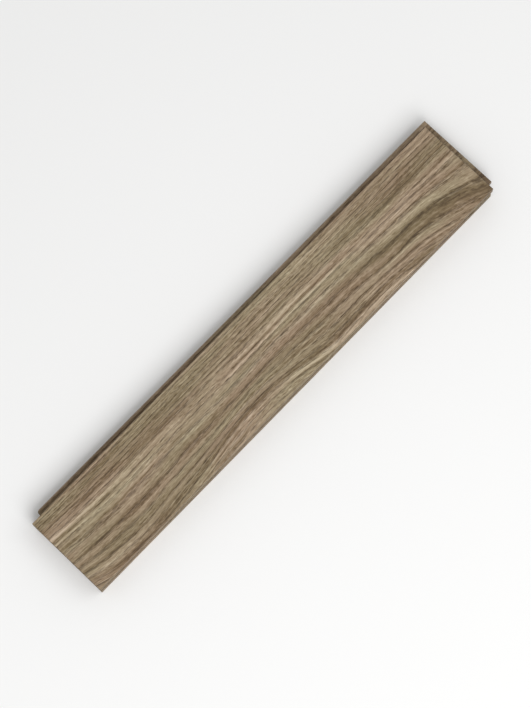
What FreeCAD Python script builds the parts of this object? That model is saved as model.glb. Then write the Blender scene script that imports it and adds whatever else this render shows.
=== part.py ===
"""Solid oak parquet block with a tongue and groove moulded all round.

X runs along the grain, Y across it and Z up. The origin is the centre of the face's rectangle, on the
underside. The side tongue is on +Y and the side groove on -Y. The end tongue is on +X and the end groove
on -X.
"""
import FreeCAD
import Part
import Sketcher
import os

NODE = "parquet_block"

# Driving dimensions in millimetres, each with the alias of its cell and what it measures.
SIZES = [
    ("face_length", 420, "visible face, along the grain"),
    ("face_width", 70, "visible face, across the grain"),
    ("wear_layer", 8.5, "face to the top of the tongue"),
    ("tongue_thickness", 6, "top to bottom of both tongues"),
    ("lower_lip", 7.5, "bottom of the tongue to the underside"),
    ("tongue_reach", 5.5, "face edge to the nose of a tongue"),
    ("tongue_nose", 0.8, "chamfer on the leading edges of a tongue"),
    ("tongue_end_radius", 2, "rounded corner where the side tongue stops"),
    ("tongue_stop_clearance", 3, "floor of the end groove to the start of the side tongue"),
    ("groove_floor_play", 0.5, "free depth in front of a seated tongue"),
    ("groove_side_play", 0.2, "groove height over the tongue thickness"),
    ("back_relief", 0.5, "how far the lower edges lie behind the face edges"),
    ("face_bevel", 0.5, "bevel on the four edges of the face"),
]

# Sizes and places that follow from the sheet, as expressions.
HALF_LENGTH = "Sizes.face_length / 2"
HALF_WIDTH = "Sizes.face_width / 2"
TONGUE_BOTTOM = "Sizes.lower_lip"
TONGUE_TOP = "Sizes.lower_lip + Sizes.tongue_thickness"
TONGUE_NOSE_BOTTOM = f"{TONGUE_BOTTOM} + Sizes.tongue_nose"
TONGUE_NOSE_TOP = f"{TONGUE_TOP} - Sizes.tongue_nose"
GROOVE_BOTTOM = f"{TONGUE_BOTTOM} - Sizes.groove_side_play / 2"
GROOVE_TOP = f"{TONGUE_TOP} + Sizes.groove_side_play / 2"
GROOVE_DEPTH = "Sizes.tongue_reach + Sizes.groove_floor_play"
THICKNESS = f"{TONGUE_TOP} + Sizes.wear_layer"
UNDERSIDE = "0"

# How a sketch constraint names its own origin and the two ends of a line.
ORIGIN = (-1, 1)
START = 1
END = 2


def make_sheet(document):
    """The spreadsheet that holds the driving dimensions."""
    sheet = document.addObject("Spreadsheet::Sheet", "Sizes")
    for row, (alias, number, meaning) in enumerate(SIZES, start=1):
        sheet.set(f"A{row}", alias)
        sheet.set(f"B{row}", str(number))
        sheet.set(f"C{row}", meaning)
        sheet.setAlias(f"B{row}", alias)
    document.recompute()


def new_sketch(body, name, role):
    """An empty sketch on one of the body's origin planes."""
    sketch = body.newObject("Sketcher::SketchObject", name)
    plane = [feature for feature in body.Origin.OriginFeatures if feature.Role == role][0]
    sketch.AttachmentSupport = [(plane, "")]
    sketch.MapMode = "FlatFace"
    return sketch


def place(sketch, corner):
    """The point that a pair of expressions gives in a sketch."""
    across, up = (float(sketch.evalExpression(expression)) for expression in corner)
    return FreeCAD.Vector(across, up, 0)


def pin(sketch, line, line_end, corner):
    """Holds one end of a line at a corner given as two expressions, measured from the sketch's origin."""
    point = place(sketch, corner)
    for kind, distance, expression in zip(("DistanceX", "DistanceY"), point, corner):
        index = sketch.addConstraint(Sketcher.Constraint(kind, *ORIGIN, line, line_end, distance))
        sketch.setExpression(f"Constraints[{index}]", expression)


def draw_chain(sketch, corners):
    """Straight lines through the corners, each line's start pinned. Gives the first and the last line."""
    points = [place(sketch, corner) for corner in corners]
    first = sketch.GeometryCount
    for start, end in zip(points, points[1:]):
        sketch.addGeometry(Part.LineSegment(start, end))
    last = sketch.GeometryCount - 1
    for line in range(first, last):
        sketch.addConstraint(Sketcher.Constraint("Coincident", line, END, line + 1, START))
    for line, corner in enumerate(corners[:-1], start=first):
        pin(sketch, line, START, corner)
    return first, last


def draw_outline(sketch, corners):
    """A closed outline of straight lines."""
    first, last = draw_chain(sketch, corners + corners[:1])
    sketch.addConstraint(Sketcher.Constraint("Coincident", last, END, first, START))


def draw_outline_with_arc(sketch, corners, centre, radius):
    """Straight lines through the corners, closed by an arc that turns from the first corner to the last."""
    first, last = draw_chain(sketch, corners)
    pin(sketch, last, END, corners[-1])
    middle = place(sketch, centre)
    circle = Part.Circle(middle, FreeCAD.Vector(0, 0, 1), float(sketch.evalExpression(radius)))
    turns = [circle.parameter(place(sketch, corner)) for corner in (corners[0], corners[-1])]
    arc = sketch.addGeometry(Part.ArcOfCircle(circle, *turns))
    sketch.addConstraint(Sketcher.Constraint("Coincident", arc, START, first, START))
    sketch.addConstraint(Sketcher.Constraint("Coincident", arc, END, last, END))
    index = sketch.addConstraint(Sketcher.Constraint("Radius", arc, circle.Radius))
    sketch.setExpression(f"Constraints[{index}]", radius)


def pocket_through(body, sketch, name):
    """Cuts a sketch's outlines through the whole body, both ways from the sketch's plane."""
    before = body.Shape.Volume
    pocket = body.newObject("PartDesign::Pocket", name)
    pocket.Profile = sketch
    pocket.Type = "ThroughAll"
    pocket.Midplane = True
    body.Document.recompute()
    if body.Shape.Volume >= before:
        raise RuntimeError(f"{name} cut nothing")


def mould_sides(body):
    """The moulded length: the section across the grain, with the side tongue and the side groove."""
    side_tongue = f"{HALF_WIDTH} + Sizes.tongue_reach"
    tongue_shoulder = f"{side_tongue} - Sizes.tongue_nose"
    lower_tongue_side = f"{HALF_WIDTH} - Sizes.back_relief"
    groove_side = f"-{HALF_WIDTH}"
    groove_floor = f"{groove_side} + {GROOVE_DEPTH}"
    lower_groove_side = f"{groove_side} + Sizes.back_relief"
    section = new_sketch(body, "side_section", "YZ_Plane")
    section.setExpression("AttachmentOffset.Base.z", f"-{HALF_LENGTH}")
    draw_outline(section, [
        (lower_groove_side, UNDERSIDE),
        (lower_tongue_side, UNDERSIDE),
        (lower_tongue_side, TONGUE_BOTTOM),
        (tongue_shoulder, TONGUE_BOTTOM),
        (side_tongue, TONGUE_NOSE_BOTTOM),
        (side_tongue, TONGUE_NOSE_TOP),
        (tongue_shoulder, TONGUE_TOP),
        (HALF_WIDTH, TONGUE_TOP),
        (HALF_WIDTH, THICKNESS),
        (groove_side, THICKNESS),
        (groove_side, GROOVE_TOP),
        (groove_floor, GROOVE_TOP),
        (groove_floor, GROOVE_BOTTOM),
        (lower_groove_side, GROOVE_BOTTOM),
    ])
    length = body.newObject("PartDesign::Pad", "moulded_length")
    length.Profile = section
    length.setExpression("Length", "Sizes.face_length + Sizes.tongue_reach")
    body.Document.recompute()


def cut_end_tongue(body):
    """The tongue on the +X end: the wood above and below it is cut back to the shoulders."""
    end_tongue = f"{HALF_LENGTH} + Sizes.tongue_reach"
    tongue_shoulder = f"{end_tongue} - Sizes.tongue_nose"
    lower_end = f"{HALF_LENGTH} - Sizes.back_relief"
    waste = new_sketch(body, "end_tongue_waste", "XZ_Plane")
    draw_outline(waste, [
        (HALF_LENGTH, TONGUE_TOP),
        (tongue_shoulder, TONGUE_TOP),
        (end_tongue, TONGUE_NOSE_TOP),
        (end_tongue, THICKNESS),
        (HALF_LENGTH, THICKNESS),
    ])
    draw_outline(waste, [
        (lower_end, UNDERSIDE),
        (end_tongue, UNDERSIDE),
        (end_tongue, TONGUE_NOSE_BOTTOM),
        (tongue_shoulder, TONGUE_BOTTOM),
        (lower_end, TONGUE_BOTTOM),
    ])
    pocket_through(body, waste, "end_tongue_shoulders")


def cut_end_groove(body):
    """The groove across the -X end, with its lower lip set back."""
    groove_end = f"-{HALF_LENGTH}"
    groove_floor = f"{groove_end} + {GROOVE_DEPTH}"
    lower_end = f"{groove_end} + Sizes.back_relief"
    waste = new_sketch(body, "end_groove_waste", "XZ_Plane")
    draw_outline(waste, [
        (groove_end, UNDERSIDE),
        (lower_end, UNDERSIDE),
        (lower_end, GROOVE_BOTTOM),
        (groove_floor, GROOVE_BOTTOM),
        (groove_floor, GROOVE_TOP),
        (groove_end, GROOVE_TOP),
    ])
    pocket_through(body, waste, "end_groove")


def stop_side_tongue(body):
    """The side tongue stops short of the grooved end, with a rounded corner, to clear a crossing tongue."""
    grooved_end = f"-{HALF_LENGTH}"
    stop = f"{grooved_end} + {GROOVE_DEPTH} + Sizes.tongue_stop_clearance"
    side_tongue = f"{HALF_WIDTH} + Sizes.tongue_reach"
    round_start = f"{side_tongue} - Sizes.tongue_end_radius"
    round_end = f"{stop} + Sizes.tongue_end_radius"
    waste = new_sketch(body, "tongue_stop_waste", "XY_Plane")
    corners = [
        (round_end, side_tongue),
        (grooved_end, side_tongue),
        (grooved_end, HALF_WIDTH),
        (stop, HALF_WIDTH),
        (stop, round_start),
    ]
    draw_outline_with_arc(waste, corners, (round_end, round_start), "Sizes.tongue_end_radius")
    pocket_through(body, waste, "tongue_stop")


def bevel_face(body):
    """The narrow bevel round the four edges of the face."""
    unbevelled = body.Tip
    heights = [face.CenterOfMass.z for face in unbevelled.Shape.Faces]
    top_face = f"Face{heights.index(max(heights)) + 1}"
    bevel = body.newObject("PartDesign::Chamfer", "face_edges")
    bevel.Base = (unbevelled, [top_face])
    bevel.setExpression("Size", "Sizes.face_bevel")
    body.Document.recompute()


def check_document(document, body):
    """Stops if any object failed, or if the block isn't one valid solid."""
    for item in document.Objects:
        if "Invalid" in item.State or "Error" in item.State:
            raise RuntimeError(f"{item.Name} failed: {item.State}")
    if body.Shape.isNull() or not body.Shape.isValid() or len(body.Shape.Solids) != 1:
        raise RuntimeError("the block isn't one valid solid")


def main():
    document = FreeCAD.newDocument("ParquetBlock")
    make_sheet(document)
    body = document.addObject("PartDesign::Body", NODE)
    body.Label = NODE
    mould_sides(body)
    cut_end_tongue(body)
    cut_end_groove(body)
    stop_side_tongue(body)
    bevel_face(body)
    check_document(document, body)
    os.makedirs("parts", exist_ok=True)
    body.Shape.exportStep(f"parts/{body.Label}.step")


main()
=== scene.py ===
import math

import bpy
import numpy as np
from mathutils import Matrix, Vector


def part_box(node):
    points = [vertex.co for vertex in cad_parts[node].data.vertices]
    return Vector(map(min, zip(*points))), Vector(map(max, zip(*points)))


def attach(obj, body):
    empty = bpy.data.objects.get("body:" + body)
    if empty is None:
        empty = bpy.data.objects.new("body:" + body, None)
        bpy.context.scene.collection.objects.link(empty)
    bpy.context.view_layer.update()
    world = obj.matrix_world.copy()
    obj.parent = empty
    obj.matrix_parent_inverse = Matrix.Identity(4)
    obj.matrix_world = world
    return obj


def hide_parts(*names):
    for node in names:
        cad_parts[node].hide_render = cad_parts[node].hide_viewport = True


# Looks of a solid oak parquet block with a brushed, matt oiled face and machined tongues and grooves.
# X runs along the grain, Y across it towards the side tongue, and Z up out of the face. The block's sizes
# are in millimetres, and its mesh is scaled to metres when it is made. The stage is in metres.

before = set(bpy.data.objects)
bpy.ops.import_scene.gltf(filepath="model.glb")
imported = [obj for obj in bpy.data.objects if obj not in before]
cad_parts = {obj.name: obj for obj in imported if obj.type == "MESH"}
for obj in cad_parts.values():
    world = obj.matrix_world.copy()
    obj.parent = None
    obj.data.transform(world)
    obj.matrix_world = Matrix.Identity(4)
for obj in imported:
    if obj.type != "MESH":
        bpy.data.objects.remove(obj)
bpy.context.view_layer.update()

NODE = "parquet_block"
MM = 0.001
SEED = 20

# The block's main sizes, from the frame
block_low, block_high = (np.array(corner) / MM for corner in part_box(NODE))
HALF_LENGTH = -block_low[0]
HALF_WIDTH = -block_low[1]
FACE_LENGTH = 2 * HALF_LENGTH
FACE_WIDTH = 2 * HALF_WIDTH
THICKNESS = block_high[2]
REACH = block_high[1] - HALF_WIDTH

# Its smaller sizes
TONGUE_BOTTOM = 7.5
TONGUE_TOP = 13.5
TONGUE_NOSE = 0.8
TONGUE_END_RADIUS = 2
TONGUE_STOP_CLEARANCE = 3
GROOVE_END_CLEARANCE = 0.5
GROOVE_SIDE_CLEARANCE = 0.1
BACK_RELIEF = 0.5
FACE_BEVEL = 0.5
GROOVE_DEPTH = REACH + GROOVE_END_CLEARANCE
GROOVE_BOTTOM = TONGUE_BOTTOM - GROOVE_SIDE_CLEARANCE
GROOVE_TOP = TONGUE_TOP + GROOVE_SIDE_CLEARANCE
TONGUE_STOP = -HALF_LENGTH + GROOVE_DEPTH + TONGUE_STOP_CLEARANCE

# Spacing of the mesh along the grain, across it and through the thickness
STEP_ALONG = 2.0
STEP_ACROSS = 0.5
STEP_THROUGH = 1.0
# Edges that turn more than this are shaded sharp
SHARP_ANGLE = math.radians(25)
# How far rounding may set apart two values that mean the same place
SLACK = 1e-6

# Where the pith of the log lay: out beyond the side tongue's edge of the face, and above the face
PITH_ASIDE = 60
PITH_ABOVE = 60

# Shares of the face's width, from the side tongue, at which a growth ring begins
RING_STARTS = (
    0.03, 0.085, 0.13, 0.175, 0.215, 0.255, 0.345, 0.385, 0.47, 0.60, 0.69, 0.775, 0.84, 0.90, 0.965,
)
# Rings to either side of those
OUTER_RING_WIDTH = 4.5
OUTER_RINGS = 12

# How the grain strays from straight: the share of the width at which a line of it would lie, then places
# along the length, from the grooved end, each with the line's stray towards the side groove
GRAIN_LINES = (
    (0.00, ((0, -0.01), (1, 0.01))),
    (0.35, (
        (0, -0.03), (0.05, -0.01), (0.10, 0.01), (0.16, 0.015), (0.25, 0.00), (0.42, 0.01),
        (0.60, 0.00), (0.78, 0.015), (1, 0.02),
    )),
    (0.60, (
        (0, 0.005), (0.05, 0.035), (0.12, 0.05), (0.22, 0.035), (0.28, 0.00), (0.40, -0.005),
        (0.50, -0.025), (0.70, -0.03), (0.76, -0.02), (0.82, 0.00), (0.90, 0.02), (0.95, 0.10),
        (1.03, 0.26),
    )),
    (0.70, (
        (0, -0.01), (0.05, 0.04), (0.12, 0.07), (0.16, 0.06), (0.22, 0.03), (0.32, 0.005),
        (0.44, -0.05), (0.52, -0.035), (0.60, -0.01), (0.70, 0.00), (0.78, 0.05), (0.84, 0.05),
        (0.90, 0.11), (0.95, 0.19), (1.03, 0.36),
    )),
    (0.90, (
        (-0.02, -0.06), (0.04, 0.05), (0.10, 0.08), (0.15, 0.08), (0.20, 0.05), (0.28, 0.00),
        (0.34, -0.05), (0.40, -0.08), (0.46, -0.08), (0.52, -0.035), (0.56, 0.01), (0.60, 0.045),
        (0.70, 0.03), (0.76, 0.03), (0.84, 0.085), (1.03, 0.36),
    )),
)
# A turn in such a line is rounded off over this share of the length to either side, in so many samples
STRAY_SOFTNESS = 0.02
STRAY_SAMPLES = 9
# How far the grain wanders besides, and the sizes of its bends along X, Y and Z
GRAIN_WANDER = (
    (0.70, (60, 16, 16)),
    (0.32, (16, 4, 4)),
)

# The clearest streaks and patches of the face: share of the width from the side tongue, half-width in mm,
# where the streak starts and ends as shares of the length from the grooved end, and its tone, dark below
# zero and light above
STREAKS = (
    (0.050, 1.2, 0.60, 0.84, 0.18),
    (0.055, 2.5, -0.10, 0.26, -0.10),
    (0.075, 0.8, 0.86, 1.10, 0.20),
    (0.085, 1.0, 0.26, 0.40, 0.22),
    (0.105, 0.7, -0.10, 0.09, -0.10),
    (0.110, 1.0, 0.58, 0.66, -0.12),
    (0.130, 8.0, 0.44, 0.76, 0.08),
    (0.140, 0.7, 0.84, 1.10, -0.18),
    (0.150, 7.0, 0.06, 0.38, -0.10),
    (0.150, 2.5, 0.68, 0.88, 0.10),
    (0.172, 0.7, -0.10, 0.12, -0.24),
    (0.195, 0.6, 0.80, 1.10, -0.14),
    (0.205, 0.7, 0.70, 0.82, -0.16),
    (0.215, 0.7, 0.03, 0.24, -0.14),
    (0.230, 0.8, 0.38, 0.60, -0.16),
    (0.240, 4.0, 0.74, 1.10, -0.10),
    (0.245, 0.7, 0.16, 0.38, -0.16),
    (0.255, 0.7, 0.84, 1.10, -0.14),
    (0.280, 1.0, 0.46, 0.84, 0.16),
    (0.285, 0.7, 0.22, 0.40, -0.18),
    (0.300, 1.8, -0.10, 0.12, 0.26),
    (0.310, 0.6, 0.72, 0.86, 0.18),
    (0.311, 0.7, 0.43, 0.72, 0.24),
    (0.315, 1.0, 0.10, 0.24, 0.08),
    (0.325, 0.6, 0.74, 0.92, -0.16),
    (0.330, 2.2, 0.24, 0.34, 0.12),
    (0.333, 0.6, 0.54, 0.70, -0.14),
    (0.335, 1.4, 0.88, 1.10, -0.16),
    (0.341, 0.6, 0.42, 0.74, -0.24),
    (0.348, 1.1, -0.10, 0.16, -0.44),
    (0.350, 0.6, 0.12, 0.24, -0.26),
    (0.352, 0.6, 0.74, 0.82, 0.16),
    (0.355, 0.6, 0.86, 1.10, -0.13),
    (0.362, 0.8, 0.79, 0.89, -0.16),
    (0.377, 1.1, 0.40, 0.72, 0.28),
    (0.380, 0.7, 0.88, 1.10, 0.08),
    (0.390, 2.0, 0.02, 0.26, 0.10),
    (0.400, 0.6, -0.10, 0.06, -0.14),
    (0.408, 0.8, 0.37, 0.46, 0.16),
    (0.410, 0.6, 0.86, 1.10, -0.22),
    (0.420, 2.2, 0.70, 0.92, 0.12),
    (0.424, 0.6, 0.42, 0.52, -0.16),
    (0.440, 0.7, 0.02, 0.28, 0.14),
    (0.445, 1.0, 0.90, 1.10, -0.22),
    (0.455, 0.7, 0.42, 0.70, -0.20),
    (0.456, 0.8, -0.10, 0.26, -0.32),
    (0.462, 0.8, 0.22, 0.36, -0.16),
    (0.468, 0.6, 0.68, 0.90, -0.26),
    (0.470, 0.8, 0.87, 1.10, -0.36),
    (0.505, 5.0, -0.10, 0.36, -0.09),
    (0.512, 1.5, 0.40, 0.76, 0.26),
    (0.515, 0.8, 0.26, 0.46, 0.06),
    (0.535, 1.4, 0.06, 0.20, 0.22),
    (0.545, 1.8, 0.72, 0.94, 0.12),
    (0.575, 0.8, 0.32, 0.43, -0.16),
    (0.575, 1.4, 0.88, 1.10, 0.10),
    (0.602, 1.6, -0.10, 0.18, -0.30),
    (0.602, 1.0, 0.14, 0.30, -0.22),
    (0.602, 1.0, 0.26, 0.76, -0.15),
    (0.622, 2.8, 0.72, 1.10, -0.17),
    (0.640, 1.0, 0.11, 0.22, -0.16),
    (0.645, 0.7, 0.00, 0.10, 0.08),
    (0.672, 1.6, 0.87, 1.10, -0.26),
    (0.690, 0.7, -0.10, 0.30, -0.13),
    (0.690, 1.0, 0.50, 0.92, -0.24),
    (0.690, 2.5, 0.90, 1.10, -0.07),
    (0.713, 0.9, 0.52, 0.68, 0.18),
    (0.725, 0.9, 0.66, 0.92, 0.18),
    (0.735, 1.0, -0.10, 0.08, 0.14),
    (0.740, 2.5, 0.94, 1.10, -0.14),
    (0.750, 0.9, 0.30, 0.52, 0.20),
    (0.755, 3.0, 0.84, 1.10, -0.10),
    (0.757, 0.8, 0.30, 0.66, -0.20),
    (0.775, 0.9, -0.10, 0.38, -0.18),
    (0.777, 0.9, 0.65, 0.87, -0.24),
    (0.783, 0.8, 0.50, 0.65, 0.22),
    (0.785, 0.9, 0.34, 0.50, 0.18),
    (0.803, 0.9, 0.83, 0.93, 0.22),
    (0.808, 0.9, 0.66, 0.86, 0.16),
    (0.825, 0.7, 0.58, 0.95, -0.16),
    (0.838, 0.8, 0.63, 0.78, 0.16),
    (0.848, 1.8, -0.10, 0.16, 0.22),
    (0.860, 0.6, 0.64, 0.95, 0.12),
    (0.862, 2.2, 0.24, 0.58, -0.15),
    (0.868, 1.3, 0.54, 0.84, -0.20),
    (0.870, 2.4, 0.80, 0.97, -0.16),
    (0.872, 1.6, 0.05, 0.25, -0.22),
    (0.877, 1.4, -0.10, 0.05, -0.24),
    (0.892, 1.2, 0.14, 0.88, -0.17),
    (0.905, 0.8, 0.56, 0.70, 0.24),
    (0.910, 1.6, 0.01, 0.18, -0.22),
    (0.925, 0.7, 0.24, 0.44, 0.24),
    (0.925, 2.4, 0.83, 1.10, -0.18),
    (0.928, 1.5, 0.62, 0.80, 0.25),
    (0.930, 1.4, 0.01, 0.14, -0.18),
    (0.930, 1.6, 0.36, 0.50, 0.20),
    (0.930, 1.7, 0.46, 0.66, 0.42),
    (0.945, 0.6, 0.26, 0.40, -0.20),
    (0.946, 1.0, 0.72, 0.83, 0.22),
    (0.965, 0.7, 0.48, 0.62, -0.30),
    (0.970, 0.8, 0.31, 0.47, 0.24),
    (1.000, 1.2, 0.31, 0.82, 0.12),
    (1.050, 1.5, 0.30, 0.50, 0.18),
)
# Share of the length over which a streak fades at its ends, and what each mm of its half-width adds
STREAK_FADE = 0.03
STREAK_FADE_BY_WIDTH = 0.01

# The brush: the softest place in a ring and its spread, as shares of the ring, how deep the brush cuts it
# and how unevenly, and the depth of its furrows. Lumps are sized along the grain, out and round the ring.
SOFT_PLACE = 0.12
SOFT_SPREAD = 0.10
BRUSH_DEPTH = 0.13
BRUSH_UNEVENNESS = 0.25
BRUSH_LUMPS = (35, 2.5, 2.5)
BRUSH_SEED = SEED + 2
FURROW_DEPTH = 0.06
FURROW_LUMPS = (28, 0.9, 0.9)
FURROW_SEED = SEED + 3

# Wear of the face's edges, with dents where their noise passes a threshold, and the most that an edge
# rises or sinks by it
WEAR_DEPTH = 0.05
WEAR_LUMPS = (14, 14, 14)
WEAR_SEED = SEED + 4
DENT_DEPTH = 0.5
DENT_THRESHOLD = 0.55
DENT_LUMPS = (5, 5, 5)
DENT_SEED = SEED + 5
MOST_RISE = 0.03
MOST_WEAR = 0.2


def smooth_noise(points, sizes, seed):
    """Soft seeded noise from -1 to 1 at each point, with lumps of the given sizes along the three axes."""
    period = 64
    lattice = np.random.default_rng(seed).uniform(-1, 1, (period, period, period))
    scaled = points / np.array(sizes)
    cell = np.floor(scaled).astype(int)
    part = scaled - cell
    part = part * part * (3 - 2 * part)
    total = np.zeros(len(points))
    for corner in np.ndindex(2, 2, 2):
        weight = np.prod(np.where(np.array(corner) == 1, part, 1 - part), axis=1)
        total += weight * lattice[tuple(((cell + corner) % period).T)]
    return total


# Shape of the block

def grid_lines(features, step):
    """Grid lines through every feature line, a step or a little more apart between them."""
    rounding = 0.001
    lines = [features[0]]
    for low, high in zip(features, features[1:]):
        cells = max(1, int((high - low) / step + rounding))
        lines.extend(np.linspace(low, high, cells + 1)[1:])
    return np.array(lines)


def block_grid():
    """The grid lines along X, Y and Z, through every edge of the block."""
    tongue_end = HALF_LENGTH + REACH
    along = [
        -HALF_LENGTH, -HALF_LENGTH + BACK_RELIEF, -HALF_LENGTH + GROOVE_DEPTH,
        TONGUE_STOP, TONGUE_STOP + TONGUE_END_RADIUS,
        HALF_LENGTH - BACK_RELIEF, HALF_LENGTH, tongue_end - TONGUE_NOSE, tongue_end,
    ]
    tongue_side = HALF_WIDTH + REACH
    across = [
        -HALF_WIDTH, -HALF_WIDTH + BACK_RELIEF, -HALF_WIDTH + GROOVE_DEPTH,
        HALF_WIDTH - BACK_RELIEF, HALF_WIDTH,
        tongue_side - TONGUE_END_RADIUS, tongue_side - TONGUE_NOSE, tongue_side,
    ]
    through = [
        0, GROOVE_BOTTOM, TONGUE_BOTTOM, TONGUE_BOTTOM + TONGUE_NOSE,
        TONGUE_TOP - TONGUE_NOSE, TONGUE_TOP, GROOVE_TOP, THICKNESS - FACE_BEVEL, THICKNESS,
    ]
    return (
        grid_lines(along, STEP_ALONG),
        grid_lines(across, STEP_ACROSS),
        grid_lines(through, STEP_THROUGH),
    )


def solid_cells(lines):
    """Which cells of the grid are wood."""
    middles = [(line[1:] + line[:-1]) / 2 for line in lines]
    x, y, z = np.meshgrid(*middles, indexing="ij")
    in_tongue = (z > TONGUE_BOTTOM) & (z < TONGUE_TOP)
    in_groove = (z > GROOVE_BOTTOM) & (z < GROOVE_TOP)
    tongue_inset = np.where(in_tongue, -REACH, np.where(z < TONGUE_BOTTOM, BACK_RELIEF, 0))
    groove_inset = np.where(in_groove, GROOVE_DEPTH, np.where(z < GROOVE_BOTTOM, BACK_RELIEF, 0))
    wood = (x < HALF_LENGTH - tongue_inset) & (x > groove_inset - HALF_LENGTH)
    wood &= (y < HALF_WIDTH - tongue_inset) & (y > groove_inset - HALF_WIDTH)
    return wood & ~((x < TONGUE_STOP) & (y > HALF_WIDTH))


def boundary_quads(wood, counts):
    """The grid corners of each face between wood and air, turned outwards, and each face's axis."""
    quads, axes = [], []
    padded = np.pad(wood, 1).astype(int)
    for axis in range(3):
        second, third = (axis + 1) % 3, (axis + 2) % 3
        keep = [slice(1, -1)] * 3
        keep[axis] = slice(None)
        change = np.diff(padded, axis=axis)[tuple(keep)]
        turns = ((0, 0), (1, 0), (1, 1), (0, 1))
        for step, order in ((-1, turns), (1, turns[::-1])):
            cells = np.argwhere(change == step)
            corners = np.repeat(cells[:, None, :], 4, axis=1)
            for index, (over_second, over_third) in enumerate(order):
                corners[:, index, second] += over_second
                corners[:, index, third] += over_third
            quads.append(np.ravel_multi_index(tuple(np.moveaxis(corners, 2, 0)), counts))
            axes.append(np.full(len(cells), axis))
    return np.concatenate(quads), np.concatenate(axes)


def near(values, line):
    """Which values lie on a line of the grid."""
    return np.isclose(values, line, atol=SLACK)


def round_tongue_end(points):
    """Rounds the corner where the side tongue stops short of the grooved end."""
    centre = np.array([TONGUE_STOP + TONGUE_END_RADIUS, HALF_WIDTH + REACH - TONGUE_END_RADIUS])
    out = (points[:, :2] - centre) * [-1, 1] / TONGUE_END_RADIUS
    corner = (out > 0).all(axis=1) & (out <= 1 + SLACK).all(axis=1)
    reach = out[corner].max(axis=1) / np.linalg.norm(out[corner], axis=1)
    points[corner, :2] = centre + out[corner] * reach[:, None] * TONGUE_END_RADIUS * [-1, 1]


def cut_edges(points, grid):
    """Bevels the edges of the face and of the tongues' noses, by moving the corners between two grid lines.

    Gives the vertices of the whole face and those of its rim.
    """
    x, y, z = grid.T
    top = near(z, THICKNESS)
    for axis, half in ((0, HALF_LENGTH), (1, HALF_WIDTH)):
        edge = top & near(abs(grid[:, axis]), half)
        points[edge, axis] -= np.sign(grid[edge, axis]) * FACE_BEVEL / 2
    rim = top & (near(abs(x), HALF_LENGTH) | near(abs(y), HALF_WIDTH))
    points[rim, 2] -= FACE_BEVEL / 2
    low, high = near(z, TONGUE_BOTTOM), near(z, TONGUE_TOP)
    noses = near(x, HALF_LENGTH + REACH), near(y, HALF_WIDTH + REACH)
    for axis, nose in enumerate(noses):
        points[nose & (low | high), axis] -= TONGUE_NOSE / 2
    points[(noses[0] | noses[1]) & low, 2] += TONGUE_NOSE / 2
    points[(noses[0] | noses[1]) & high, 2] -= TONGUE_NOSE / 2
    return top, rim


# Grain of the wood

def stray(along, stops):
    """A line's stray at shares of the length, rounded off where it turns."""
    places, rises = zip(*stops)
    shifts = np.linspace(-STRAY_SOFTNESS, STRAY_SOFTNESS, STRAY_SAMPLES)
    return np.mean([np.interp(along + shift, places, rises) for shift in shifts], axis=0)


def straight_share(along, across):
    """The share of the width at which the grain through a point would lie if it ran straight."""
    shares = [share for share, _ in GRAIN_LINES]
    lines = [share + stray(along, stops) for share, stops in GRAIN_LINES]
    straight = shares[-1] + across - lines[-1]
    for index in reversed(range(len(lines) - 1)):
        part = (across - lines[index]) / (lines[index + 1] - lines[index])
        inside = shares[index] + part * (shares[index + 1] - shares[index])
        straight = np.where(across < lines[index + 1], inside, straight)
    return straight


def wood_space(points):
    """Each point in the log: along the grain, out to where its ring meets the face, and round the ring."""
    along = points[:, 0] + HALF_LENGTH
    depth = THICKNESS - points[:, 2]
    out = FACE_WIDTH * straight_share(along / FACE_LENGTH, (HALF_WIDTH - points[:, 1]) / FACE_WIDTH)
    for index, (amount, sizes) in enumerate(GRAIN_WANDER):
        out = out + amount * smooth_noise(points, sizes, SEED + index)
    radius = np.hypot(out + PITH_ASIDE, depth + PITH_ABOVE)
    turn = np.arctan2(depth + PITH_ABOVE, out + PITH_ASIDE)
    met = np.sqrt(radius ** 2 - PITH_ABOVE ** 2) - PITH_ASIDE
    middle_radius = np.hypot(PITH_ASIDE + HALF_WIDTH, PITH_ABOVE)
    return np.column_stack([along, met, turn * middle_radius])


def streak_tone(wood):
    """The tone of the clear streaks at each point of the log."""
    along = wood[:, 0] / FACE_LENGTH
    total = np.zeros(len(wood))
    for share, half_width, start, end, tone in STREAKS:
        length = STREAK_FADE + STREAK_FADE_BY_WIDTH * half_width
        fade = np.clip((along - start) / length, 0, 1) * np.clip((end - along) / length, 0, 1)
        total += tone * fade * np.exp(-((wood[:, 1] - share * FACE_WIDTH) / half_width) ** 2)
    return total


def ring_count(out):
    """How many rings lie inside a distance out. The fraction is the place within a ring."""
    on_face = np.array(RING_STARTS) * FACE_WIDTH
    more = OUTER_RING_WIDTH * np.arange(1, OUTER_RINGS + 1)
    starts = np.concatenate([on_face[0] - more[::-1], on_face, on_face[-1] + more])
    return np.interp(out, starts, np.arange(len(starts)))


def brushed_depth(wood, rings):
    """How deep the brush cut into the soft start of each ring, with fine furrows along the fibres."""
    place = rings % 1
    soft = sum(np.exp(-((place - start - SOFT_PLACE) / SOFT_SPREAD) ** 2) for start in (0, 1))
    uneven = 1 + BRUSH_UNEVENNESS * (smooth_noise(wood, BRUSH_LUMPS, BRUSH_SEED) - 1)
    furrows = (1 + smooth_noise(wood, FURROW_LUMPS, FURROW_SEED)) / 2
    return BRUSH_DEPTH * soft * uneven + FURROW_DEPTH * furrows


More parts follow.
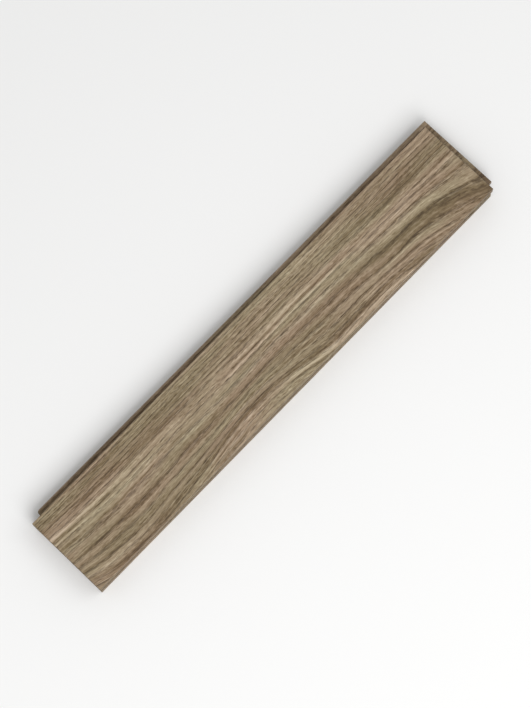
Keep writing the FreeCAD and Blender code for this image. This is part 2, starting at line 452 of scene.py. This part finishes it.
def wear_edges(points, rim):
    """Slight unevenness of the face's bevelled edges, as handling leaves it."""
    worn = WEAR_DEPTH * smooth_noise(points[rim], WEAR_LUMPS, WEAR_SEED)
    dents = np.clip(smooth_noise(points[rim], DENT_LUMPS, DENT_SEED) - DENT_THRESHOLD, 0, 1)
    points[rim, 2] -= np.clip(worn + DENT_DEPTH * dents, -MOST_RISE, MOST_WEAR)


def add_attribute(mesh, name, kind, values):
    """Keeps a value on every vertex, for the materials to read."""
    attribute = mesh.attributes.new(name, kind, "POINT")
    field = "vector" if kind == "FLOAT_VECTOR" else "value"
    attribute.data.foreach_set(field, np.ascontiguousarray(values, np.float32).ravel())


def make_block(face_material, side_material, end_material):
    """The block as one closed mesh that carries its place in the log on every vertex."""
    lines = block_grid()
    counts = tuple(len(line) for line in lines)
    quads, axes = boundary_quads(solid_cells(lines), counts)
    used, faces = np.unique(quads, return_inverse=True)
    faces = faces.reshape(-1, 4)
    places = np.unravel_index(used, counts)
    grid = np.column_stack([line[place] for line, place in zip(lines, places)])
    points = grid.copy()
    round_tongue_end(points)
    top, rim = cut_edges(points, grid)
    wood = wood_space(points)
    rings = ring_count(wood[:, 1])
    flat = top & ~rim
    points[flat, 2] -= brushed_depth(wood, rings)[flat]
    wear_edges(points, rim)

    mesh = bpy.data.meshes.new(NODE)
    mesh.from_pydata((points * MM).tolist(), [], faces.tolist())
    for material in (face_material, side_material, end_material):
        mesh.materials.append(material)
    on_face = top[faces].any(axis=1) & (axes == 2) | rim[faces].any(axis=1)
    slots = np.where(on_face, 0, np.where(axes == 0, 2, 1))
    mesh.polygons.foreach_set("material_index", slots.astype(np.int32))
    add_attribute(mesh, "wood", "FLOAT_VECTOR", wood)
    add_attribute(mesh, "rings", "FLOAT", rings)
    add_attribute(mesh, "streaks", "FLOAT", streak_tone(wood))
    mesh.shade_smooth()
    mesh.set_sharp_from_angle(angle=SHARP_ANGLE)
    mesh.update()
    block = bpy.data.objects.new("oak_block", mesh)
    bpy.context.scene.collection.objects.link(block)
    return block


# Materials

def srgb(red, green, blue):
    """A colour given as screen values from 0 to 255, as the linear values that a shader takes."""
    shares = np.array([red, green, blue]) / 255
    linear = np.where(shares <= 0.04045, shares / 12.92, ((shares + 0.055) / 1.055) ** 2.4)
    return (*(float(share) for share in linear), 1.0)


# Noises of the oak: the sizes of their lumps along the grain, out and round the ring, an offset that sets
# each apart from the rest, and for some the values between which they fade in. Rings and streaks are
# strongest where the unbroken noise is high.
PATTERNS = {
    "patch": dict(sizes=(60, 16, 20), offset=1.3),
    "veins": dict(sizes=(80, 5, 7), offset=3.1, detail=1, roughness=0.6),
    "unbroken": dict(sizes=(24, 2.4, 4), offset=5.3, fade=(0.28, 0.72)),
    "fibre": dict(sizes=(75, 0.9, 1.4), offset=7.7, roughness=0.6),
    "pores": dict(sizes=(9, 0.26, 0.30), offset=11.9, detail=1, fade=(0.53, 0.60)),
    "dark_lines": dict(sizes=(90, 1.2, 1.8), offset=13.9, fade=(0.54, 0.60)),
    "lone_pores": dict(sizes=(6, 0.2, 0.24), offset=17.3, detail=1, fade=(0.66, 0.74)),
    "light_lines": dict(sizes=(80, 1.2, 1.8), offset=19.6, fade=(0.55, 0.61)),
    "warmth": dict(sizes=(90, 12, 16), offset=23.0, fade=(0.32, 0.68)),
    "rays": dict(sizes=(40, 14, 0.5), offset=29.0, detail=1, fade=(0.52, 0.66)),
    "mottle": dict(sizes=(3.5, 1.1, 1.6), offset=31.7, detail=1),
    "flecks": dict(sizes=(8, 0.6, 0.9), offset=37.1, fade=(0.57, 0.61)),
    "crowded": dict(sizes=(50, 5, 7), offset=41.3, fade=(0.38, 0.60)),
    "glints": dict(sizes=(8, 0.7, 1.0), offset=43.7, fade=(0.58, 0.63)),
    "fray": dict(sizes=(120, 0.5, 0.7), offset=47.9, detail=1),
}
# Marks with plain outlines, and marks whose ends are frayed, fibre by fibre, by up to a length
PLAIN_MARKS = ("veins", "patch", "fibre", "dark_lines", "light_lines")
FRAYED_MARKS = ("mottle", "flecks", "glints")
FRAY_LENGTH = 7.0

# How much each mark lightens the oak, or darkens it if below zero, and the level that they add to
BROAD_WEIGHTS = {"band": 1.0, "streaks": 1.0, "veins": 0.28, "patch": 0.22}
BROAD_LEVEL = -0.24
FINE_WEIGHTS = {
    "fibre": 0.48, "mottle": 0.50,
    "dark_lines": -0.16, "light_lines": 0.13, "flecks": -0.27, "glints": 0.14,
}
FINE_LEVEL = -0.46
LONG_GRAIN_WEIGHTS = {"ring": 0.24, "fine": 1.0}
END_GRAIN_WEIGHTS = {"ring": 0.55, "fine": 0.40}
# Least and most strength of a streak, from broken to unbroken
STREAK_STRENGTH = (0.5, 1.8)
# Strength of a dark line where the mottle is low and where it is high, and the values that count as such
DARK_LINE_STRENGTH = (1.6, 0.4)
DARK_LINE_FADE = (0.36, 0.60)

# How much each mark raises the surface, the height of that relief in mm, and the rise of the knife marks
RELIEF_WEIGHTS = {"pores": -0.6, "fibre": 0.35, "veins": 0.25}
RELIEF_HEIGHT = 0.24
KNIFE_RISE = 0.05
# How much each mark roughens it
ROUGHNESS_WEIGHTS = {"pores": 0.12, "ring": -0.06}

# Broad light and dark bands across the face, as shares of its width from the side tongue
FACE_BANDS = (
    (0.00, 0.55), (0.08, 0.49), (0.20, 0.44), (0.26, 0.46), (0.31, 0.59), (0.40, 0.61),
    (0.50, 0.57), (0.56, 0.51), (0.61, 0.44), (0.72, 0.48), (0.86, 0.49), (0.96, 0.47),
)
# Tone within one growth ring, from its porous start to its dense end, and the tone that leaves no mark
RING_TONES = (
    (0.00, 0.15), (0.10, 0.10), (0.26, 0.42), (0.55, 0.58), (0.86, 0.72), (0.95, 0.80), (1.00, 0.15),
)
PLAIN_TONE = 0.5
# Where in a ring its pores thin out, and the strength of the lone pores elsewhere
PORES_THIN_OUT = (0.20, 0.50)
LONE_PORE_STRENGTH = 0.6

# Colours of the oiled oak, from the darkest tone to the lightest
OAK_TONES = (
    (0.00, srgb(84, 65, 40)),
    (0.25, srgb(116, 97, 69)),
    (0.50, srgb(141, 123, 99)),
    (0.75, srgb(165, 148, 124)),
    (1.00, srgb(190, 174, 151)),
)
COOL_TINT = srgb(248, 251, 241)
WARM_TINT = srgb(255, 248, 246)
# Darkening of the machined sides, tongues and grooves: partly their own duller colour, partly painted shade
MACHINED_TINT_AND_SHADE = srgb(232, 228, 222)
END_GRAIN_TINT = srgb(206, 196, 186)
PORE_COLOUR = srgb(72, 57, 42)
PORE_STRENGTH = 0.55
RAY_COLOUR = srgb(176, 156, 126)
RAY_STRENGTH = 0.35


class Nodes:
    """One material's node tree. Each call adds a node and gives its output socket."""

    def __init__(self, name):
        self.material = bpy.data.materials.new(name)
        self.material.use_nodes = True
        self.tree = self.material.node_tree
        self.tree.nodes.clear()

    def add(self, kind, inputs, output=0, **settings):
        node = self.tree.nodes.new(kind)
        for name, value in settings.items():
            setattr(node, name, value)
        for key, value in inputs.items():
            if isinstance(value, bpy.types.NodeSocket):
                self.tree.links.new(value, node.inputs[key])
            else:
                node.inputs[key].default_value = value
        return node.outputs[output]

    def attribute(self, name, output):
        return self.add("ShaderNodeAttribute", {}, output, attribute_name=name)

    def math(self, operation, *values):
        return self.add("ShaderNodeMath", dict(enumerate(values)), operation=operation)

    def split(self, vector):
        """The three sockets of a vector's parts."""
        return self.add("ShaderNodeSeparateXYZ", {0: vector}).node.outputs

    def noise(self, vector, sizes, offset=0.0, detail=2.0, roughness=0.5, fade=None):
        """Noise with lumps of the given sizes, in the vector's units, faded in between two values if given."""
        shares = tuple(1 / size for size in sizes)
        inputs = {0: vector, 1: shares, 2: (offset, offset, offset)}
        placed = self.add("ShaderNodeVectorMath", inputs, operation="MULTIPLY_ADD")
        inputs = {"Vector": placed, "Scale": 1.0, "Detail": detail, "Roughness": roughness}
        noise = self.add("ShaderNodeTexNoise", inputs)
        return self.fade(noise, *fade) if fade else noise

    def pattern(self, name, vector):
        return self.noise(vector, **PATTERNS[name])

    def fade(self, value, low, high):
        """0 at low and 1 at high, with a soft rise between them."""
        inputs = {"Value": value, "From Min": low, "From Max": high}
        return self.add("ShaderNodeMapRange", inputs, interpolation_type="SMOOTHSTEP")

    def between(self, share, first, second):
        """The first value where the share is 0, and the second where it is 1."""
        return self.math("MULTIPLY_ADD", share, second - first, first)

    def weigh(self, marks, weights, level=0.0):
        """A level with the marks on top of it, each times its weight."""
        total = level
        for name, weight in weights.items():
            total = self.math("MULTIPLY_ADD", marks[name], weight, total)
        return total

    def ramp(self, value, stops, smooth=True):
        """A colour or a grey for each value, through stops of place and colour."""
        output = self.add("ShaderNodeValToRGB", {0: value})
        ramp = output.node.color_ramp
        ramp.interpolation = "B_SPLINE" if smooth else "LINEAR"
        while len(ramp.elements) < len(stops):
            ramp.elements.new(0.5)
        for element, (place, colour) in zip(ramp.elements, stops):
            element.position = place
            element.color = colour if isinstance(colour, tuple) else (colour, colour, colour, 1)
        return output

    def mix(self, share, first, second, blend="MIX"):
        inputs = {0: share, 6: first, 7: second}
        return self.add("ShaderNodeMix", inputs, 2, data_type="RGBA", blend_type=blend)

    def finish(self, colour, roughness, height, height_mm):
        """Closes the tree with a principled shader and a bump of the given height."""
        inputs = {"Strength": 1.0, "Distance": height_mm * MM, "Height": height}
        bump = self.add("ShaderNodeBump", inputs)
        inputs = {"Base Color": colour, "Roughness": roughness, "Normal": bump}
        shader = self.add("ShaderNodeBsdfPrincipled", inputs)
        output = self.tree.nodes.new("ShaderNodeOutputMaterial")
        self.tree.links.new(shader, output.inputs["Surface"])
        return self.material


def frayed_space(nodes, wood):
    """The place in the log, moved along the grain by another length in each fibre."""
    along, out, around = nodes.split(wood)
    moved = nodes.math("MULTIPLY_ADD", nodes.pattern("fray", wood), FRAY_LENGTH, along)
    return nodes.add("ShaderNodeCombineXYZ", {0: moved, 1: out, 2: around})


def tone_marks(nodes, wood, unbroken):
    """The marks that lighten or darken the oak, by name."""
    marks = {name: nodes.pattern(name, wood) for name in PLAIN_MARKS}
    frayed = frayed_space(nodes, wood)
    marks.update({name: nodes.pattern(name, frayed) for name in FRAYED_MARKS})
    marks["flecks"] = nodes.math("MULTIPLY", marks["flecks"], nodes.pattern("crowded", wood))
    dashes = nodes.between(nodes.fade(marks["mottle"], *DARK_LINE_FADE), *DARK_LINE_STRENGTH)
    marks["dark_lines"] = nodes.math("MULTIPLY", marks["dark_lines"], dashes)
    strength = nodes.between(unbroken, *STREAK_STRENGTH)
    marks["streaks"] = nodes.math("MULTIPLY", nodes.attribute("streaks", "Fac"), strength)
    out = nodes.split(wood)["Y"]
    marks["band"] = nodes.ramp(nodes.math("DIVIDE", out, FACE_WIDTH), FACE_BANDS)
    return marks


def ring_mark(nodes, rings, place, unbroken):
    """The tone of the growth rings, stronger in some rings than in others."""
    number = nodes.math("FLOOR", rings)
    strength = nodes.add("ShaderNodeTexWhiteNoise", {"W": number}, noise_dimensions="1D")
    tone = nodes.math("SUBTRACT", nodes.ramp(place, RING_TONES, smooth=False), PLAIN_TONE)
    return nodes.math("MULTIPLY", tone, nodes.math("MULTIPLY", unbroken, strength))


def pore_marks(nodes, wood, place):
    """Open pores, crowded in the start of each ring and few in the rest of it."""
    porous = nodes.math("SUBTRACT", 1.0, nodes.fade(place, *PORES_THIN_OUT))
    crowded = nodes.math("MULTIPLY", nodes.pattern("pores", wood), porous)
    lone = nodes.math("MULTIPLY", nodes.pattern("lone_pores", wood), LONE_PORE_STRENGTH)
    return nodes.math("MAXIMUM", crowded, lone)


def oak(name, roughness, end_grain=False, knife_pitch=None):
    """Oak seen from one side of the block. The pattern lies in the log, so it runs on round the edges."""
    nodes = Nodes(name)
    wood = nodes.attribute("wood", "Vector")
    rings = nodes.attribute("rings", "Fac")
    place = nodes.math("FRACT", rings)
    unbroken = nodes.pattern("unbroken", wood)
    marks = tone_marks(nodes, wood, unbroken)
    marks["fine"] = nodes.weigh(marks, FINE_WEIGHTS, FINE_LEVEL)
    marks["ring"] = ring_mark(nodes, rings, place, unbroken)
    marks["pores"] = pore_marks(nodes, wood, place)

    broad = nodes.weigh(marks, BROAD_WEIGHTS, BROAD_LEVEL)
    tone = nodes.weigh(marks, END_GRAIN_WEIGHTS if end_grain else LONG_GRAIN_WEIGHTS, broad)
    colour = nodes.ramp(tone, OAK_TONES, smooth=False)
    tint = nodes.mix(nodes.pattern("warmth", wood), COOL_TINT, WARM_TINT)
    colour = nodes.mix(1.0, colour, tint, "MULTIPLY")
    colour = nodes.mix(nodes.math("MULTIPLY", marks["pores"], PORE_STRENGTH), colour, PORE_COLOUR)

    relief = nodes.weigh(marks, RELIEF_WEIGHTS)
    if knife_pitch:
        along = nodes.split(wood)["X"]
        knives = nodes.math("SINE", nodes.math("MULTIPLY", along, 2 * math.pi / knife_pitch))
        relief = nodes.math("MULTIPLY_ADD", knives, KNIFE_RISE, relief)
        # Machined surfaces darkened: their own duller colour plus painted shade
        colour = nodes.mix(1.0, colour, MACHINED_TINT_AND_SHADE, "MULTIPLY")
    if end_grain:
        rays = nodes.math("MULTIPLY", nodes.pattern("rays", wood), RAY_STRENGTH)
        colour = nodes.mix(rays, colour, RAY_COLOUR)
        colour = nodes.mix(1.0, colour, END_GRAIN_TINT, "MULTIPLY")
    shine = nodes.weigh(marks, ROUGHNESS_WEIGHTS, roughness)
    return nodes.finish(colour, shine, relief, RELIEF_HEIGHT)


# Stage

FLOOR_HALF = 6.0
FLOOR_TONES = ((0.84, 0.84, 0.835, 1), (0.86, 0.86, 0.855, 1))
FLOOR_CLOUDS = (0.6, 0.6, 0.6)
FLOOR_ROUGHNESS = 0.8
FLOOR_RELIEF_MM = 0.1

KEY_LIGHT = dict(place=(-0.7, -1.6, 2.0), size=1.5, watts=40)
FILL_LIGHT = dict(place=(1.2, -1.1, 2.5), size=2.0, watts=17)
WORLD_STRENGTH = 0.55

# The eye from the middle of the face, and the face's length on the screen: in pixels, and turned from level
EYE_DIRECTION = Vector((-0.15, -0.17, 1)).normalized()
EYE_DISTANCE = 2.0
LENGTH_ON_SCREEN = 560
LENGTH_TURN = math.radians(45.4)
IMAGE_LONG_SIDE = 708
SENSOR_WIDTH_MM = 36


def floor_material():
    """Plain pale studio floor."""
    nodes = Nodes("pale_floor")
    place = nodes.add("ShaderNodeTexCoord", {}, "Object")
    cloud = nodes.noise(place, FLOOR_CLOUDS)
    return nodes.finish(nodes.mix(cloud, *FLOOR_TONES), FLOOR_ROUGHNESS, cloud, FLOOR_RELIEF_MM)


def make_floor():
    """A square of floor under the block."""
    corners = [(-1, -1), (1, -1), (1, 1), (-1, 1)]
    mesh = bpy.data.meshes.new("floor")
    mesh.from_pydata([(FLOOR_HALF * x, FLOOR_HALF * y, 0) for x, y in corners], [], [(0, 1, 2, 3)])
    mesh.materials.append(floor_material())
    floor = bpy.data.objects.new("floor", mesh)
    bpy.context.scene.collection.objects.link(floor)


def make_camera():
    """The view that gives the centred face the outline it has in the photograph, turned to its diagonal."""
    data = bpy.data.cameras.new("camera")
    camera = bpy.data.objects.new("camera", data)
    bpy.context.scene.collection.objects.link(camera)
    target = Vector((0, 0, THICKNESS * MM))
    right = Vector((0, 0, 1)).cross(EYE_DIRECTION).normalized()
    up = EYE_DIRECTION.cross(right)
    upright = Matrix((right, up, EYE_DIRECTION)).transposed().to_4x4()
    length = Vector((1, 0, 0))
    turn = math.atan2(length.dot(up), length.dot(right))
    camera.matrix_world = (
        Matrix.Translation(target + EYE_DIRECTION * EYE_DISTANCE)
        @ upright
        @ Matrix.Rotation(turn - LENGTH_TURN, 4, "Z")
    )
    seen = math.hypot(length.dot(right), length.dot(up)) * FACE_LENGTH * MM
    data.sensor_width = SENSOR_WIDTH_MM
    data.lens = LENGTH_ON_SCREEN / seen * EYE_DISTANCE / IMAGE_LONG_SIDE * SENSOR_WIDTH_MM
    bpy.context.scene.camera = camera


def make_light(name, place, size, watts):
    """A square softbox that faces the block."""
    data = bpy.data.lights.new(name, "AREA")
    data.size = size
    data.energy = watts
    light = bpy.data.objects.new(name, data)
    light.location = place
    light.rotation_euler = (-Vector(place)).to_track_quat("-Z", "Y").to_euler()
    bpy.context.scene.collection.objects.link(light)


def make_world():
    """Even white light from all round."""
    world = bpy.data.worlds.new("studio")
    world.use_nodes = True
    background = world.node_tree.nodes["Background"]
    background.inputs["Color"].default_value = (1, 1, 1, 1)
    background.inputs["Strength"].default_value = WORLD_STRENGTH
    bpy.context.scene.world = world


block = make_block(
    oak("oak_face", roughness=0.50),
    oak("oak_machined", roughness=0.62, knife_pitch=2.4),
    oak("oak_end_grain", roughness=0.70, end_grain=True),
)
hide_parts(NODE)
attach(block, "root")

make_floor()
make_camera()
make_light("key_light", **KEY_LIGHT)
make_light("fill_light", **FILL_LIGHT)
make_world()
bpy.context.scene.view_settings.view_transform = "Standard"
